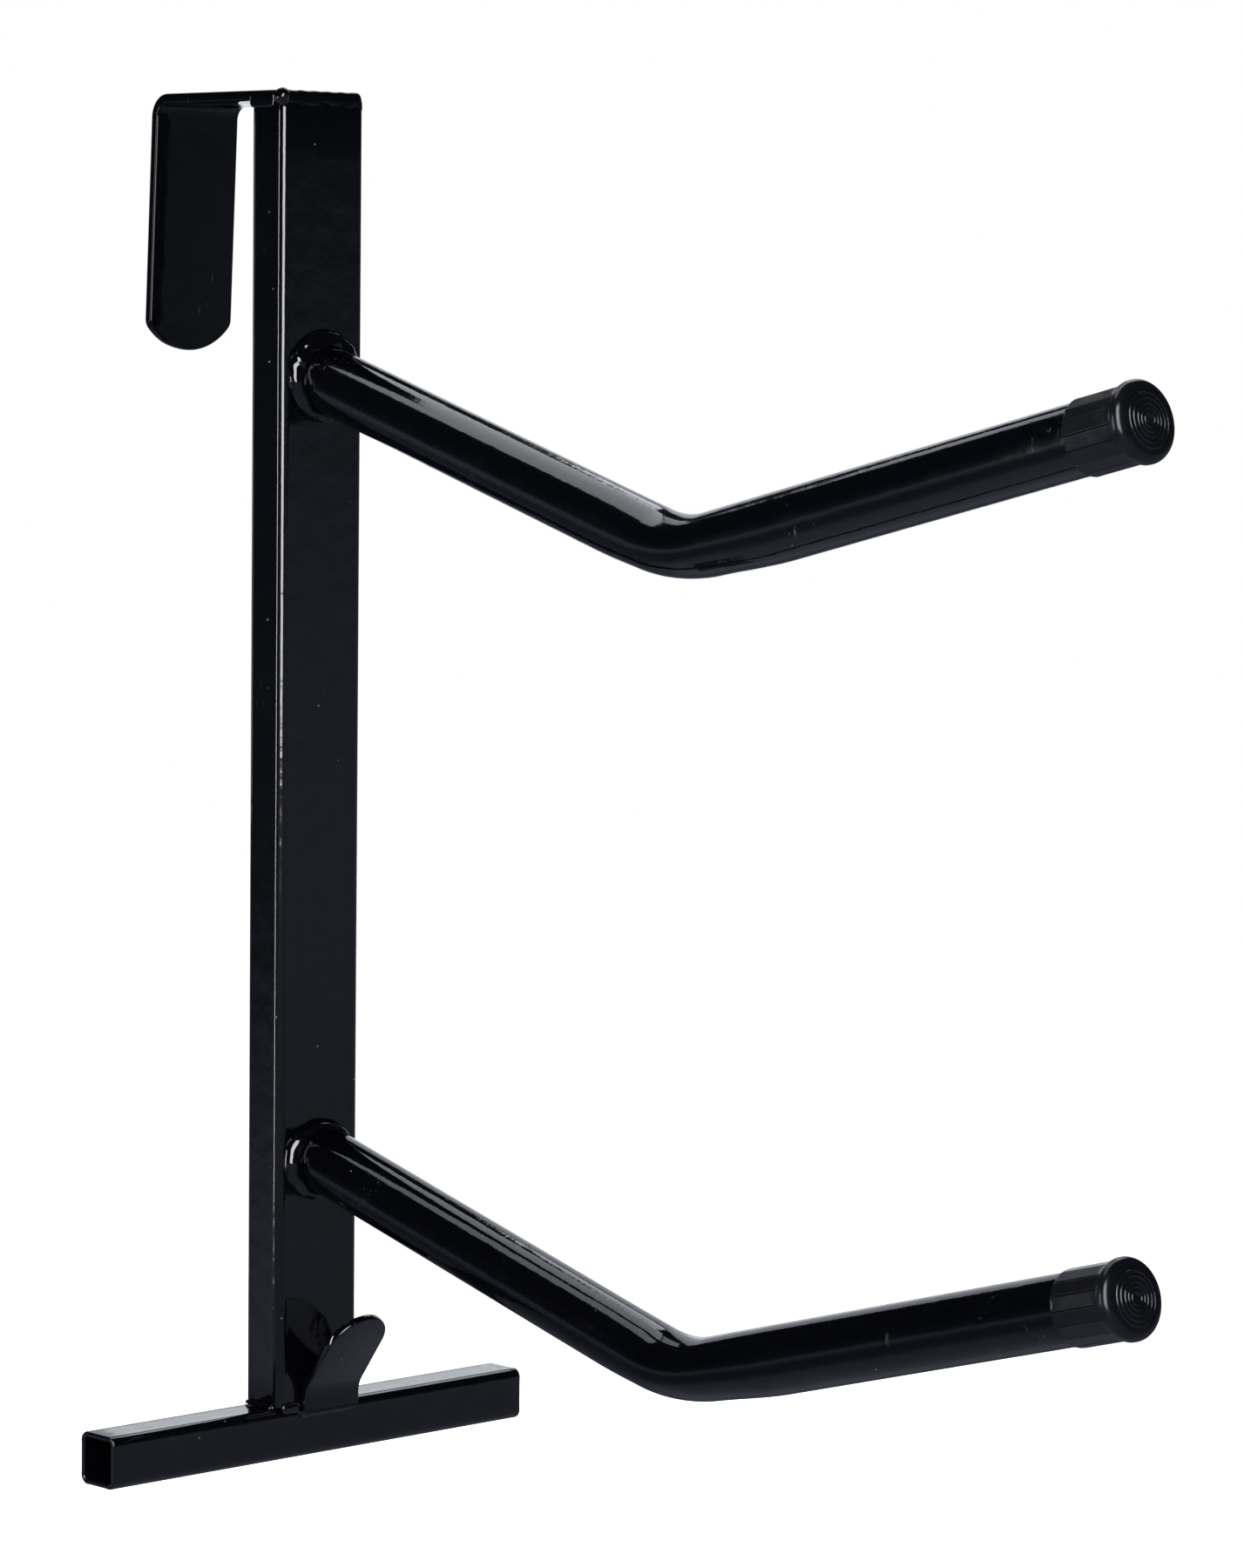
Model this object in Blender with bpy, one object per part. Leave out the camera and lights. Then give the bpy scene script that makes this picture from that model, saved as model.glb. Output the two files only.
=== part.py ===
"""Hook-over wall rack: a rectangular post that hangs on a board by a bent strap.

Two bent tube arms reach forward from the post, a square crossbar keeps its foot
off the wall, and a small tongue at the foot holds a loop or a strap.  Everything
is welded into one rigid frame; only the two plastic end caps are pressed on.

Frame: metres, +Z up, +X along the crossbar, -Y the front, +Y the wall side.
The origin is the middle of the strap's underside inside the throat, which is
where the rack rests on the top edge of a board.
"""

import math

import bmesh
import bpy
from mathutils import Matrix, Vector

# ---- fits -----------------------------------------------------------------
JOINT_GAP = 0.0003            # left between pieces that touch on the real rack

# ---- post: rectangular tube -----------------------------------------------
POST_WIDTH = 0.040
POST_DEPTH = 0.020
POST_WALL = 0.002
POST_CORNER = 0.0025          # outer corner radius
POST_HEIGHT = 0.4945          # crossbar top to strap underside

# ---- crossbar: square tube at the foot -------------------------------------
CROSSBAR_LENGTH = 0.204
CROSSBAR_SIZE = 0.020
CROSSBAR_WALL = 0.002
CROSSBAR_CORNER = 0.0025
CROSSBAR_SHIFT = 0.0033       # centre of the crossbar right of the post's

# ---- hook strap: flat bar bent over the top of the post --------------------
STRAP_WIDTH = 0.040
STRAP_THICKNESS = 0.004
STRAP_EDGE = 0.0006           # small rounding of the bar's long edges
STRAP_SETBACK = 0.0018        # front end of the bar behind the post's front face
THROAT = 0.055                # post's back face to the leg, at the underside
STRAP_BEND_RADIUS = 0.005     # inside radius of the bend
LEG_SPLAY = math.radians(2.7)  # the leg leans away from the post
LEG_LENGTH = 0.0937           # underside to the tip of the leg
LEG_TIP_RADIUS = 0.025        # arc across the leg's free end
LEG_TIP_CORNER = 0.005        # rounding where the arc meets the sides

# ---- arms: round tube, one bend each ---------------------------------------
ARM_DIAMETER = 0.025
ARM_WALL = 0.002
ARM_BEND = math.radians(30.5)
ARM_BEND_RADIUS = 0.058       # to the tube's centre line
BEND_FLATTENING = 0.08        # share of its depth that the tube loses in the bend
BEND_INWARD = 0.08            # share of its radius that it sits further in there
BEND_WIDENING = 0.08          # share of its width that it gains there
FLATTENED_REACH = 0.045       # how far the flattening runs each way
FLATTENED_SHIFT = 0.006       # its middle, past the bend's middle
UPPER_ARM_HEIGHT = 0.3916     # crossbar top to the axis at the post's face
LOWER_ARM_HEIGHT = 0.0957
UPPER_ARM_TILT = math.radians(-1.6)  # how far the whole arm is turned up
LOWER_ARM_TILT = math.radians(0.1)
UPPER_ARM_ROOT_RUN = 0.2046   # post's face to the crossing of the two axes
LOWER_ARM_ROOT_RUN = 0.2087
UPPER_ARM_TIP_RUN = 0.2172    # crossing of the axes to the tube's free end
LOWER_ARM_TIP_RUN = 0.2147

# ---- end caps ---------------------------------------------------------------
CAP_SLEEVE_LENGTH = 0.0215    # along the tube, from the head's back
CAP_SLEEVE_WALL = 0.0006
CAP_HEAD_DIAMETER = 0.0283
CAP_HEAD_THICKNESS = 0.0046   # at the edge of the face
CAP_RIM_RADIUS = 0.0032
CAP_CROWN = 0.0006            # the face's middle stands proud of its edge
CAP_END_THICKNESS = 0.0021    # plastic in front of the tube's end, at the edge

# ---- tongue hook --------------------------------------------------------------
TONGUE_WIDTH = 0.027
TONGUE_THICKNESS = 0.003
TONGUE_FOOT = 0.005           # upright part above the crossbar's top
TONGUE_FOOT_DROP = 0.0015     # upright part in front of the crossbar
TONGUE_LEAN = math.radians(36)
TONGUE_LEAF = 0.0357          # sloping part, to its tip
TONGUE_TIP_RADIUS = 0.0135
TONGUE_BEND_RADIUS = 0.003    # inside radius between foot and leaf
TONGUE_SHIFT = 0.0045         # centre of the tongue right of the post's

# ---- weld beads ---------------------------------------------------------------
ARM_BEAD_LEG = 0.0050         # how far the bead climbs the tube and the post
SEAM_BEAD_HEIGHT = 0.0060     # flat beads over the strap's seams
SEAM_BEAD_DEPTH = 0.0005
FRONT_BEAD_DROP = 0.0030      # how far the front bead reaches below the seam
CORNER_BEAD_RADIUS = 0.0036
CORNER_BEAD_HEIGHT = 0.0020   # its centre above the strap's underside
REAR_BEAD_LEG = 0.0020
BASE_BEAD_LEG = 0.0014
TONGUE_BEAD_LEG = 0.0030
FOOT_BEAD_HEIGHT = 0.0040     # bead on the post's front, left of the tongue
FOOT_BEAD_DEPTH = 0.0010

# ---- how finely round shapes are divided ------------------------------------
TUBE_SIDES = 32
BEND_STEPS = 12
CORNER_STEPS = 4
BEAD_SIDES = 8
TIP_STEPS = 12
SQUASH_STEPS = 20

# ---- places that follow from the sizes ---------------------------------------
POST_BACK = -THROAT / 2
POST_FRONT = POST_BACK - POST_DEPTH
CROSSBAR_TOP = -POST_HEIGHT
ARM_RADIUS = ARM_DIAMETER / 2
SHARP_ANGLE = math.radians(35)
DUPLICATE_DISTANCE = 0.00001

COAT_COLOUR = (0.006, 0.006, 0.008, 1.0)
CAP_COLOUR = (0.020, 0.020, 0.022, 1.0)
BEAD_COLOUR = (0.008, 0.008, 0.010, 1.0)


# ---- shared tools --------------------------------------------------------------
def clear_scene():
    """Empty the scene that the script runs in."""
    for item in list(bpy.data.objects):
        bpy.data.objects.remove(item, do_unlink=True)


def make_material(name, colour, roughness):
    """A Principled surface of one colour and roughness."""
    material = bpy.data.materials.new(name)
    material.use_nodes = True
    shader = material.node_tree.nodes["Principled BSDF"]
    shader.inputs["Base Color"].default_value = colour
    shader.inputs["Roughness"].default_value = roughness
    shader.inputs["Metallic"].default_value = 0.0
    return material


def make_piece(name, shape, colour=COAT_COLOUR, roughness=0.2, matrix=None):
    """Turn a finished bmesh into a named object with its own material."""
    bmesh.ops.recalc_face_normals(shape, faces=shape.faces)
    mesh = bpy.data.meshes.new(name)
    shape.to_mesh(mesh)
    shape.free()
    mesh.shade_smooth()
    mesh.set_sharp_from_angle(angle=SHARP_ANGLE)
    mesh.materials.append(make_material(name + "_finish", colour, roughness))
    piece = bpy.data.objects.new(name, mesh)
    if matrix is not None:
        piece.matrix_world = matrix
    bpy.context.scene.collection.objects.link(piece)
    return piece


def rounded_rectangle(width, depth, radius):
    """Corners of a rectangle centred on the origin, each corner an arc."""
    points = []
    corners = ((1, 1, 0), (-1, 1, 90), (-1, -1, 180), (1, -1, 270))
    for side_x, side_y, start in corners:
        centre_x = side_x * (width / 2 - radius)
        centre_y = side_y * (depth / 2 - radius)
        for step in range(CORNER_STEPS + 1):
            angle = math.radians(start + 90 * step / CORNER_STEPS)
            points.append((centre_x + radius * math.cos(angle), centre_y + radius * math.sin(angle)))
    return points


def circle(radius, sides):
    """Corners of a circle centred on the origin."""
    angles = [2 * math.pi * step / sides for step in range(sides)]
    return [(radius * math.cos(angle), radius * math.sin(angle)) for angle in angles]


def closed_loop(shape, points):
    """Add a closed loop of edges through 3-D points."""
    verts = [shape.verts.new(point) for point in points]
    return [shape.edges.new((verts[i - 1], verts[i])) for i in range(len(verts))]


def moved_vertices(extruded):
    """The vertices that an extrude or a spin has just made."""
    return [item for item in extruded if isinstance(item, bmesh.types.BMVert)]


def moved_faces(extruded):
    """The faces that an extrude or a spin has just made."""
    return [item for item in extruded if isinstance(item, bmesh.types.BMFace)]


def whole_region(faces):
    """Faces with their edges and corners, so that an extrude leaves no inner wall."""
    edges = dict.fromkeys(edge for face in faces for edge in face.edges)
    verts = dict.fromkeys(vert for face in faces for vert in face.verts)
    return list(faces) + list(edges) + list(verts)


def extrude_along(shape, faces, vector):
    """Pull a set of faces along a vector and give back their new places."""
    result = bmesh.ops.extrude_face_region(shape, geom=whole_region(faces))["geom"]
    bmesh.ops.translate(shape, vec=vector, verts=moved_vertices(result))
    return moved_faces(result)


def ring_faces(shape, outer, inner):
    """The flat wall section between two closed loops of points."""
    edges = closed_loop(shape, outer) + closed_loop(shape, inner)
    return bmesh.ops.bridge_loops(shape, edges=edges)["faces"]


def square_tube(width, depth, wall, corner, length):
    """A rounded rectangular tube, pulled up from z = 0."""
    shape = bmesh.new()
    outer = rounded_rectangle(width, depth, corner)
    inner_corner = max(corner - wall, corner / 5)
    inner = rounded_rectangle(width - 2 * wall, depth - 2 * wall, inner_corner)
    section = ring_faces(shape, [(x, y, 0) for x, y in outer], [(x, y, 0) for x, y in inner])
    extrude_along(shape, section, (0, 0, length))
    return shape


def carry_section(sections):
    """A closed body through a list of equal closed sections, capped at both ends."""
    shape = bmesh.new()
    loops = [[shape.verts.new(point) for point in section] for section in sections]
    for near, far in zip(loops, loops[1:]):
        for i in range(len(near)):
            shape.faces.new((near[i - 1], near[i], far[i], far[i - 1]))
    shape.faces.new(loops[0])
    shape.faces.new(loops[-1])
    return shape


def carry_ring(sections):
    """A closed body through closed sections, the last of them joined to the first."""
    shape = bmesh.new()
    loops = [[shape.verts.new(point) for point in section] for section in sections]
    for index, far in enumerate(loops):
        near = loops[index - 1]
        for i in range(len(near)):
            shape.faces.new((near[i - 1], near[i], far[i], far[i - 1]))
    return shape


# ---- frame ------------------------------------------------------------------------
def make_post():
    """Rectangular tube between the crossbar and the strap."""
    length = POST_HEIGHT - JOINT_GAP
    shape = square_tube(POST_WIDTH, POST_DEPTH, POST_WALL, POST_CORNER, length)
    place = Matrix.Translation((0, (POST_FRONT + POST_BACK) / 2, CROSSBAR_TOP + JOINT_GAP))
    return make_piece("post", shape, matrix=place)


def make_crossbar():
    """Square tube across the foot, flush with the post's front and back."""
    shape = square_tube(CROSSBAR_SIZE, CROSSBAR_SIZE, CROSSBAR_WALL, CROSSBAR_CORNER, CROSSBAR_LENGTH)
    centre_y = POST_FRONT + CROSSBAR_SIZE / 2
    centre_z = CROSSBAR_TOP - CROSSBAR_SIZE / 2
    left_end = CROSSBAR_SHIFT - CROSSBAR_LENGTH / 2
    lie_along_x = Matrix.Rotation(math.radians(90), 4, "Y")
    place = Matrix.Translation((left_end, centre_y, centre_z)) @ lie_along_x
    return make_piece("crossbar", shape, matrix=place)


def leg_tip_outline(length):
    """Half-widths and distances along the leg for its arched, rounded end."""
    half = STRAP_WIDTH / 2
    radius = LEG_TIP_RADIUS
    corner = LEG_TIP_CORNER
    centre = length - radius
    corner_x = half - corner
    corner_along = centre + math.sqrt((radius - corner) ** 2 - corner_x ** 2)
    join_angle = math.atan2(corner_along - centre, corner_x)
    outline = []
    for step in range(CORNER_STEPS + 1):
        angle = join_angle * step / CORNER_STEPS
        outline.append((corner_x + corner * math.cos(angle), corner_along + corner * math.sin(angle)))
    for step in range(1, TIP_STEPS):
        angle = join_angle + (math.pi / 2 - join_angle) * step / TIP_STEPS
        outline.append((radius * math.cos(angle), centre + radius * math.sin(angle)))
    return outline


def strap_stations():
    """Where the strap's cross-sections stand: side-view point, direction, half-width, relief.

    The side view is measured on the strap's inner face, from the front end over
    the post, around the bend and down the leg.  Over the post and its rear bead
    the underside is relieved by the gap that it keeps to them.
    """
    half = STRAP_WIDTH / 2
    turn = math.pi / 2 - LEG_SPLAY
    setback = STRAP_BEND_RADIUS * math.tan(turn / 2)
    bend_start = THROAT / 2 - setback
    centre = Vector((0, bend_start, -STRAP_BEND_RADIUS))
    level = Vector((0, 1, 0))
    front_end = POST_FRONT + STRAP_SETBACK
    relief_end = POST_BACK + REAR_BEAD_LEG + 2 * JOINT_GAP
    stations = [(Vector((0, y, 0)), level, half, JOINT_GAP) for y in (front_end, relief_end)]
    stations += [(Vector((0, y, 0)), level, half, 0) for y in (relief_end + JOINT_GAP, bend_start)]
    for step in range(1, BEND_STEPS + 1):
        angle = turn * step / BEND_STEPS
        out = Vector((0, math.sin(angle), math.cos(angle)))
        along = Vector((0, math.cos(angle), -math.sin(angle)))
        stations.append((centre + STRAP_BEND_RADIUS * out, along, half, 0))
    down = Vector((0, math.sin(LEG_SPLAY), -math.cos(LEG_SPLAY)))
    leg_top = Vector((0, THROAT / 2, 0))
    length = LEG_LENGTH / math.cos(LEG_SPLAY)
    for width, along in leg_tip_outline(length):
        stations.append((leg_top + along * down, down, width, 0))
    return stations


def strap_section(point, along, half, relief):
    """Rounded cross-section of the flat bar at one station."""
    out = Vector((0, -along.z, along.y))
    edge = min(STRAP_EDGE, half / 3)
    middle = (STRAP_THICKNESS + relief) / 2
    reach = (STRAP_THICKNESS - relief) / 2 - edge
    section = []
    for side_x, side_out, start in ((1, 1, 0), (-1, 1, 90), (-1, -1, 180), (1, -1, 270)):
        for step in range(2):
            angle = math.radians(start + 90 * step)
            x = side_x * (half - edge) + edge * math.cos(angle)
            height = middle + side_out * reach + edge * math.sin(angle)
            section.append(point + Vector((x, 0, 0)) + height * out)
    return section


def make_hook_strap():
    """Flat bar from the post's front edge, back over the board and down behind it."""
    shape = carry_section([strap_section(*station) for station in strap_stations()])
    return make_piece("hook_strap", shape)


# ---- arms ----------------------------------------------------------------------------
def arm_directions(tilt):
    """Directions of an arm's root run and tip run, in the plane x = 0."""
    root_slope = tilt - ARM_BEND / 2
    tip_slope = tilt + ARM_BEND / 2
    root = Vector((0, -math.cos(root_slope), math.sin(root_slope)))
    tip = Vector((0, -math.cos(tip_slope), math.sin(tip_slope)))
    return root, tip


def arm_root(height):
    """The point on the post's face that an arm's axis starts from."""
    return Vector((0, POST_FRONT, CROSSBAR_TOP + height))


def arm_path(height, tilt, root_run, tip_run):
    """Centre line of an arm as (point, direction, distance past the bend's middle)."""
    root_way, tip_way = arm_directions(tilt)
    setback = ARM_BEND_RADIUS * math.tan(ARM_BEND / 2)
    half_arc = ARM_BEND_RADIUS * ARM_BEND / 2
    bend_start = arm_root(height) + (root_run - setback) * root_way
    bend_end = arm_root(height) + root_run * root_way + setback * tip_way
    side = Vector((1, 0, 0))
    centre = bend_start + ARM_BEND_RADIUS * root_way.cross(side)
    first = FLATTENED_SHIFT - FLATTENED_REACH
    last = FLATTENED_SHIFT + FLATTENED_REACH
    path = []
    for step in range(SQUASH_STEPS + 1):
        along = first + (last - first) * step / SQUASH_STEPS
        turned = min(max((along + half_arc) / ARM_BEND_RADIUS, 0), ARM_BEND)
        way = Matrix.Rotation(-turned, 3, side) @ root_way
        point = centre + Matrix.Rotation(-turned, 3, side) @ (bend_start - centre)
        if along < -half_arc:
            point = bend_start + (along + half_arc) * root_way
        if along > half_arc:
            point = bend_end + (along - half_arc) * tip_way
        path.append((point, way, along))
    path.append((bend_end + (tip_run - setback) * tip_way, tip_way, last))
    return path


def squashed(along):
    """How far the tube is flattened, 1 at the worst place and 0 away from it."""
    place = (along - FLATTENED_SHIFT) / FLATTENED_REACH
    return math.cos(math.pi / 2 * min(max(place, -1), 1)) ** 2


def tube_sections(path, radius):
    """Circles along a path, pressed flat on the outside where the tube is bent."""
    side = Vector((1, 0, 0))
    sections = []
    for point, way, along in path:
        outward = side.cross(way)
        flat = squashed(along)
        middle = point - BEND_INWARD * flat * radius * outward
        across = (1 + BEND_WIDENING * flat) * side
        deep = (1 - BEND_FLATTENING * flat) * outward
        sections.append([middle + x * across + y * deep for x, y in circle(radius, TUBE_SIDES)])
    return sections


def mitred_root(height, tilt, radius):
    """Circle of the tube slid along its axis onto the plane just off the post."""
    root_way, _ = arm_directions(tilt)
    start = arm_root(height)
    side = Vector((1, 0, 0))
    up = side.cross(root_way)
    placed = []
    for x, y in circle(radius, TUBE_SIDES):
        point = start + x * side + y * up
        reach = (POST_FRONT - JOINT_GAP - point.y) / root_way.y
        placed.append(point + reach * root_way)
    return placed


def make_arm(name, height, tilt, root_run, tip_run):
    """Bent round tube, mitred to the post's face and open at its free end."""
    path = arm_path(height, tilt, root_run, tip_run)
    outer = [mitred_root(height, tilt, ARM_RADIUS)] + tube_sections(path, ARM_RADIUS)
    bore = ARM_RADIUS - ARM_WALL
    inner = [mitred_root(height, tilt, bore)] + tube_sections(path, bore)
    return make_piece(name, carry_ring(outer + inner[::-1]))


def arm_end(height, tilt, root_run, tip_run):
    """Placement of the tube's free end: +Z runs out of the tube."""
    root_way, tip_way = arm_directions(tilt)
    point = arm_root(height) + root_run * root_way + tip_run * tip_way
    turn = Vector((0, 0, 1)).rotation_difference(tip_way).to_matrix().to_4x4()
    return Matrix.Translation(point) @ turn


def cap_profile():
    """Half-section of the cap as (radius, height) points; height 0 is the tube's end."""
    bore = ARM_RADIUS + JOINT_GAP
    sleeve = bore + CAP_SLEEVE_WALL
    head = CAP_HEAD_DIAMETER / 2
    face = CAP_END_THICKNESS
    back = face - CAP_HEAD_THICKNESS
    mouth = back - CAP_SLEEVE_LENGTH
    profile = [(0, JOINT_GAP), (bore, JOINT_GAP), (bore, mouth)]
    profile += [(sleeve, mouth), (sleeve, back), (head, back)]
    rim_centre = Vector((head - CAP_RIM_RADIUS, face - CAP_RIM_RADIUS))
    for step in range(CORNER_STEPS + 1):
        angle = math.pi / 2 * step / CORNER_STEPS
        rim = rim_centre + CAP_RIM_RADIUS * Vector((math.cos(angle), math.sin(angle)))
        profile.append(tuple(rim))
    profile.append((rim_centre.x / 2, face + CAP_CROWN * 3 / 4))
    profile.append((0, face + CAP_CROWN))
    return profile


def make_cap(name, place):
    """Plastic end cap: a thin sleeve over the tube and a rounded head."""
    shape = bmesh.new()
    verts = [shape.verts.new((radius, 0, height)) for radius, height in cap_profile()]
    edges = [shape.edges.new(pair) for pair in zip(verts, verts[1:])]
    bmesh.ops.spin(
        shape, geom=verts + edges, cent=(0, 0, 0), axis=(0, 0, 1), angle=2 * math.pi, steps=TUBE_SIDES
    )
    bmesh.ops.remove_doubles(shape, verts=shape.verts, dist=DUPLICATE_DISTANCE)
    return make_piece(name, shape, CAP_COLOUR, 0.45, place)


# ---- tongue -----------------------------------------------------------------------------
def tongue_tip_outline(length):
    """Half-widths and distances along the leaf for its rounded end."""
    half = TONGUE_WIDTH / 2
    corner = min(TONGUE_TIP_RADIUS, half - TONGUE_THICKNESS / 10)
    outline = []
    for step in range(TIP_STEPS + 1):
        angle = math.pi / 2 * step / TIP_STEPS
        width = half - corner + corner * math.cos(angle)
        outline.append((width, length - corner + corner * math.sin(angle)))
    return outline


def make_tongue():
    """Small plate in front of the crossbar, bent forward, with a rounded end."""
    half = TONGUE_WIDTH / 2
    back = POST_FRONT - JOINT_GAP
    up = Vector((0, 0, 1))
    lean_way = Vector((0, -math.sin(TONGUE_LEAN), math.cos(TONGUE_LEAN)))
    bend_radius = TONGUE_BEND_RADIUS + TONGUE_THICKNESS
    bend_start = Vector((TONGUE_SHIFT, back, CROSSBAR_TOP + TONGUE_FOOT))
    foot_end = bend_start - (TONGUE_FOOT + TONGUE_FOOT_DROP) * up
    centre = bend_start + Vector((0, -bend_radius, 0))
    stations = [(foot_end, up, half), (bend_start, up, half)]
    for step in range(1, CORNER_STEPS + 1):
        angle = TONGUE_LEAN * step / CORNER_STEPS
        out = Vector((0, math.cos(angle), math.sin(angle)))
        along = Vector((0, -math.sin(angle), math.cos(angle)))
        stations.append((centre + bend_radius * out, along, half))
    leaf_start = stations[-1][0]
    for width, along in tongue_tip_outline(TONGUE_LEAF):
        stations.append((leaf_start + along * lean_way, lean_way, width))
    sections = []
    for point, along, width in stations:
        front = Vector((0, -along.z, along.y)) * TONGUE_THICKNESS
        across = Vector((width, 0, 0))
        sections.append([point + across, point - across, point - across + front, point + across + front])
    return make_piece("tongue_hook", carry_section(sections))


# ---- weld beads ----------------------------------------------------------------------------
def make_arm_bead(name, height, tilt):
    """Fillet bead around an arm's root, where the tube meets the post."""
    root_way, _ = arm_directions(tilt)
    start = arm_root(height)
    side = Vector((1, 0, 0))
    up = side.cross(root_way)
    inner = ARM_RADIUS + JOINT_GAP
    face = POST_FRONT - JOINT_GAP
    sections = []
    for step in range(TUBE_SIDES):
        angle = 2 * math.pi * step / TUBE_SIDES
        ray = math.cos(angle) * side + math.sin(angle) * up
        foot = start + inner * ray
        foot += (face - foot.y) / root_way.y * root_way
        flat = Vector((ray.x, 0, ray.z)).normalized()
        section = [foot]
        for part in range(CORNER_STEPS + 1):
            swing = math.pi / 2 * part / CORNER_STEPS
            section.append(foot + ARM_BEAD_LEG * (math.cos(swing) * flat + math.sin(swing) * root_way))
        sections.append(section)
    return make_piece(name, carry_ring(sections), BEAD_COLOUR, 0.25)


def quarter_bead(name, start, end, out_a, out_b, leg):
    """Fillet bead along a straight seam, filling the corner between two faces."""
    sections = []
    for point in (start, end):
        section = [point]
        for part in range(CORNER_STEPS + 1):
            swing = math.pi / 2 * part / CORNER_STEPS
            section.append(point + leg * (math.cos(swing) * out_a + math.sin(swing) * out_b))
        sections.append(section)
    return make_piece(name, carry_section(sections), BEAD_COLOUR, 0.25)


def seam_bead(name, start, end, out, low, high, depth):
    """Flat half-oval bead along a level seam; low and high are its heights."""
    middle = (low + high) / 2
    half = (high - low) / 2
    sections = []
    for point in (start, end):
        section = []
        for step in range(BEAD_SIDES + 1):
            angle = math.pi * step / BEAD_SIDES
            place = point + depth * math.sin(angle) * out
            section.append((place.x, place.y, middle + half * math.cos(angle)))
        sections.append(section)
    return make_piece(name, carry_section(sections), BEAD_COLOUR, 0.25)


def make_strap_front_bead():
    """Bead that caps the strap's front end and laps over the post's front face."""
    face = POST_FRONT - JOINT_GAP
    strap_end = POST_FRONT + STRAP_SETBACK - JOINT_GAP
    crown = STRAP_THICKNESS - STRAP_SETBACK / 2
    profile = [(face, -FRONT_BEAD_DROP), (face, JOINT_GAP), (strap_end, JOINT_GAP)]
    profile.append((strap_end, STRAP_THICKNESS))
    for step in range(1, BEAD_SIDES + 1):
        angle = math.pi / 2 * step / BEAD_SIDES
        reach = strap_end - face + SEAM_BEAD_DEPTH
        y = strap_end - reach * math.sin(angle)
        profile.append((y, crown + (STRAP_THICKNESS - crown) * math.cos(angle)))
    half = STRAP_WIDTH / 2
    left = -half + CORNER_BEAD_RADIUS + JOINT_GAP
    sections = [[(x, y, z) for y, z in profile] for x in (left, half)]
    return make_piece("strap_front_weld", carry_section(sections), BEAD_COLOUR, 0.25)


def make_strap_side_bead(name, side):
    """Flat bead over the seam between the strap and one side face of the post."""
    x = side * (max(POST_WIDTH, STRAP_WIDTH) / 2 + JOINT_GAP)
    low = STRAP_THICKNESS - STRAP_EDGE - SEAM_BEAD_HEIGHT
    high = STRAP_THICKNESS - STRAP_EDGE
    front = POST_FRONT + CORNER_BEAD_RADIUS + STRAP_SETBACK
    start = Vector((x, front, 0))
    end = Vector((x, POST_BACK, 0))
    return seam_bead(name, start, end, Vector((side, 0, 0)), low, high, SEAM_BEAD_DEPTH)


def add_cutter(name, low, high):
    """Hidden box that a Boolean takes away from another piece."""
    shape = bmesh.new()
    bmesh.ops.create_cube(shape, size=1.0)
    for vertex in shape.verts:
        vertex.co = Vector([a if c < 0 else b for a, b, c in zip(low, high, vertex.co)])
    mesh = bpy.data.meshes.new(name)
    shape.to_mesh(mesh)
    shape.free()
    cutter = bpy.data.objects.new(name, mesh)
    cutter.hide_render = True
    cutter.display_type = "WIRE"
    bpy.context.scene.collection.objects.link(cutter)
    return cutter


def make_corner_bead():
    """Round lump where the front bead ends, around the strap's front left corner."""
    shape = bmesh.new()
    bmesh.ops.create_uvsphere(
        shape, u_segments=TUBE_SIDES, v_segments=2 * BEAD_SIDES, radius=CORNER_BEAD_RADIUS
    )
    centre = Vector((-POST_WIDTH / 2, POST_FRONT + STRAP_SETBACK / 2, CORNER_BEAD_HEIGHT))
    piece = make_piece("strap_corner_weld", shape, BEAD_COLOUR, 0.25, Matrix.Translation(centre))
    reach = 3 * CORNER_BEAD_RADIUS
    left = -POST_WIDTH / 2 - JOINT_GAP
    post_low = Vector((left, POST_FRONT - JOINT_GAP, -reach))
    post_high = Vector((left + reach, POST_FRONT + reach, JOINT_GAP))
    strap_low = Vector((left, POST_FRONT + STRAP_SETBACK - JOINT_GAP, -reach))
    strap_high = Vector((left + reach, POST_FRONT + reach, STRAP_THICKNESS + JOINT_GAP))
    bead_low = Vector((-POST_WIDTH / 2 + CORNER_BEAD_RADIUS, POST_FRONT - reach, -reach))
    bead_high = bead_low + Vector((reach, 2 * reach, 2 * reach))
    cuts = (("post_clearance", post_low, post_high), ("strap_clearance", strap_low, strap_high),
            ("front_bead_clearance", bead_low, bead_high))
    for name, low, high in cuts:
        cut = piece.modifiers.new(name, "BOOLEAN")
        cut.operation = "DIFFERENCE"
        cut.solver = "EXACT"
        cut.object = add_cutter(name, low, high)
    return piece


def make_rear_bead():
    """Fillet bead under the strap, along the top of the post's back face."""
    half_length = POST_WIDTH / 2 - POST_CORNER - 2 * JOINT_GAP
    start = Vector((-half_length, POST_BACK + JOINT_GAP, 0))
    end = Vector((half_length, POST_BACK + JOINT_GAP, 0))
    wall_side = Vector((0, 1, 0))
    down = Vector((0, 0, -1))
    quarter_bead("strap_rear_weld", start, end, wall_side, down, REAR_BEAD_LEG)


def make_base_bead(name, side):
    """Fillet bead on the crossbar's top, along one side face of the post."""
    x = side * (POST_WIDTH / 2 + JOINT_GAP)
    z = CROSSBAR_TOP + JOINT_GAP
    inset = max(POST_CORNER, CROSSBAR_CORNER)
    start = Vector((x, POST_FRONT + inset, z))
    end = Vector((x, POST_BACK - inset, z))
    quarter_bead(name, start, end, Vector((side, 0, 0)), Vector((0, 0, 1)), BASE_BEAD_LEG)


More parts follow.
